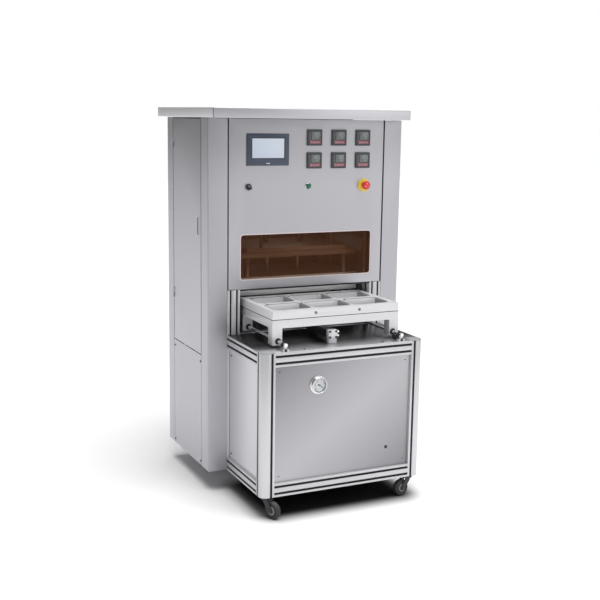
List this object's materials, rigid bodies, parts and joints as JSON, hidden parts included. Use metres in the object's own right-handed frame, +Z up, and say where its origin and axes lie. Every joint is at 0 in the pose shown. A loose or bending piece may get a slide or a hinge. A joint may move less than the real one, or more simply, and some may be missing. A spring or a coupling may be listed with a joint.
{
  "type": "tray sealing machine",
  "caption": "Free-standing press cabinet with a control panel, a tinted window and a sliding tray mould on a slotted-profile base.",
  "frame": {"origin": "centre of the machine's outline on the floor", "axes": "+X to the operator's right, +Y from the operator towards the back, +Z up"},
  "size_m": [0.9732, 1.1342, 1.729],
  "materials": {
    "stainless_sheet": "satin",
    "frame_steel": "satin",
    "profile_aluminium": "anodised",
    "mould_aluminium": "machined",
    "bright_steel": "polished",
    "machined_steel": "machined",
    "black_plastic": "matte",
    "dark_plastic": "satin",
    "tinted_acrylic": "smoked",
    "clear_glass": "clear",
    "display": "backlit",
    "yellow_plastic": "gloss",
    "red_plastic": "gloss",
    "green_plastic": "gloss",
    "white_face": "satin",
    "black_rubber": "matte",
    "seal_rubber": "matte",
    "film": "clear"
  },
  "bodies": {
    "machine": {"cabinet_frame": "frame_steel", "column_panels": "stainless_sheet", "lower_side_panels": "stainless_sheet", "rear_panel": "stainless_sheet", "cabinet_floor": "stainless_sheet", "canopy": "stainless_sheet", "levelling_feet": "black_rubber", "door_hinge_plates": "machined_steel", "front_control_panel": "stainless_sheet", "window_pane": "tinted_acrylic", "hmi_case": "dark_plastic", "hmi_screen": "display", "temperature_controllers": "black_plastic", "controller_displays": "display", "control_collars": "bright_steel", "estop_legend": "yellow_plastic", "base_rails": "profile_aluminium", "upright_posts": "profile_aluminium", "corner_posts": "profile_aluminium", "slot_covers": "black_plastic", "plastic_caps": "black_plastic", "base_front_panel": "stainless_sheet", "base_side_panels": "stainless_sheet", "table_plate": "stainless_sheet", "panel_screws": "bright_steel", "gauge_case": "bright_steel", "gauge_dial": "white_face", "gauge_lens": "clear_glass", "slide_shafts": "bright_steel", "shaft_supports": "mould_aluminium", "shaft_bumpers": "black_rubber", "carriage_cylinder": "profile_aluminium", "press_bed": "machined_steel", "press_head_plate": "machined_steel", "tie_columns": "bright_steel", "press_cylinders": "profile_aluminium", "film_brackets": "machined_steel", "caster_plates": "machined_steel"},
    "carriage": {"carriage_frame": "mould_aluminium", "linear_bushes": "black_plastic", "drive_slider": "black_plastic", "lower_mould": "mould_aluminium", "tray_seals": "seal_rubber"},
    "press": {"press_rods": "bright_steel", "press_plate": "mould_aluminium", "upper_mould": "mould_aluminium"},
    "platen": {"heater_platen": "mould_aluminium"},
    "left_door": {"left_side_door": "stainless_sheet"},
    "right_door": {"right_side_door": "stainless_sheet"},
    "key_knob": {"key_switch_knob": "black_plastic"},
    "start_button": {"start_button_cap": "green_plastic"},
    "estop_plunger": {"estop_stem": "red_plastic"},
    "estop_head": {"estop_mushroom": "red_plastic"},
    "needle": {"gauge_needle": "black_plastic"},
    "supply_reel": {"film_supply_roll": "film"},
    "waste_reel": {"film_waste_roll": "film"},
    "left_fork": {"caster_fork_left": "machined_steel"},
    "left_wheel": {"caster_wheel_left": "black_rubber"},
    "right_fork": {"caster_fork_right": "machined_steel"},
    "right_wheel": {"caster_wheel_right": "black_rubber"}
  },
  "joints": [
    {"name": "carriage_slide", "type": "slide", "parent": "machine", "child": "carriage", "axis": [0, 1, 0], "range_m": [0, 0.4]},
    {"name": "press_lift", "type": "slide", "parent": "machine", "child": "press", "axis": [0, 0, 1], "range_m": [0, 0.045]},
    {"name": "platen_stroke", "type": "slide", "parent": "press", "child": "platen", "axis": [0, 0, -1], "range_m": [0, 0.0145], "stiffness_N_per_m": 20000, "springref_m": -0.01},
    {"name": "left_door_swing", "type": "hinge", "parent": "machine", "child": "left_door", "pos_m": [-0.4834, 0.3456, 1.15], "axis": [0, 0, 1], "range_deg": [-110, 0]},
    {"name": "right_door_swing", "type": "hinge", "parent": "machine", "child": "right_door", "pos_m": [0.4834, 0.3456, 1.15], "axis": [0, 0, 1], "range_deg": [0, 110]},
    {"name": "key_switch_turn", "type": "hinge", "parent": "machine", "child": "key_knob", "pos_m": [-0.292, -0.1329, 1.387], "axis": [0, 1, 0], "range_deg": [0, 90]},
    {"name": "start_button_press", "type": "slide", "parent": "machine", "child": "start_button", "axis": [0, 1, 0], "range_m": [0, 0.004], "stiffness_N_per_m": 500},
    {"name": "estop_press", "type": "slide", "parent": "machine", "child": "estop_plunger", "axis": [0, 1, 0], "range_m": [0, 0.005]},
    {"name": "estop_release_twist", "type": "hinge", "parent": "estop_plunger", "child": "estop_head", "pos_m": [0.286, -0.1329, 1.387], "axis": [0, 1, 0], "range_deg": [0, 45], "stiffness_Nm_per_rad": 0.2},
    {"name": "gauge_needle_turn", "type": "hinge", "parent": "machine", "child": "needle", "pos_m": [-0.123, -0.5209, 0.568], "axis": [0, 1, 0], "range_deg": [-270, 0]},
    {"name": "film_supply_spin", "type": "hinge", "parent": "machine", "child": "supply_reel", "pos_m": [-0.405, 0.1421, 1.08], "axis": [0, 1, 0], "continuous": true},
    {"name": "film_waste_spin", "type": "hinge", "parent": "machine", "child": "waste_reel", "pos_m": [0.405, 0.1421, 1.08], "axis": [0, 1, 0], "continuous": true},
    {"name": "left_caster_swivel", "type": "hinge", "parent": "machine", "child": "left_fork", "pos_m": [-0.35, -0.4949, 0.06], "axis": [0, 0, 1], "continuous": true},
    {"name": "left_wheel_spin", "type": "hinge", "parent": "left_fork", "child": "left_wheel", "pos_m": [-0.33454, -0.52961, 0.0375], "axis": [0.9135, 0.4067, 0], "continuous": true},
    {"name": "right_caster_swivel", "type": "hinge", "parent": "machine", "child": "right_fork", "pos_m": [0.35, -0.4949, 0.06], "axis": [0, 0, 1], "continuous": true},
    {"name": "right_wheel_spin", "type": "hinge", "parent": "right_fork", "child": "right_wheel", "pos_m": [0.31283, -0.5028, 0.0375], "axis": [0.2079, -0.9781, 0], "continuous": true}
  ],
  "couplings": [
    {"joint": "film_waste_spin", "follows": "film_supply_spin", "ratio": 1.425}
  ]
}
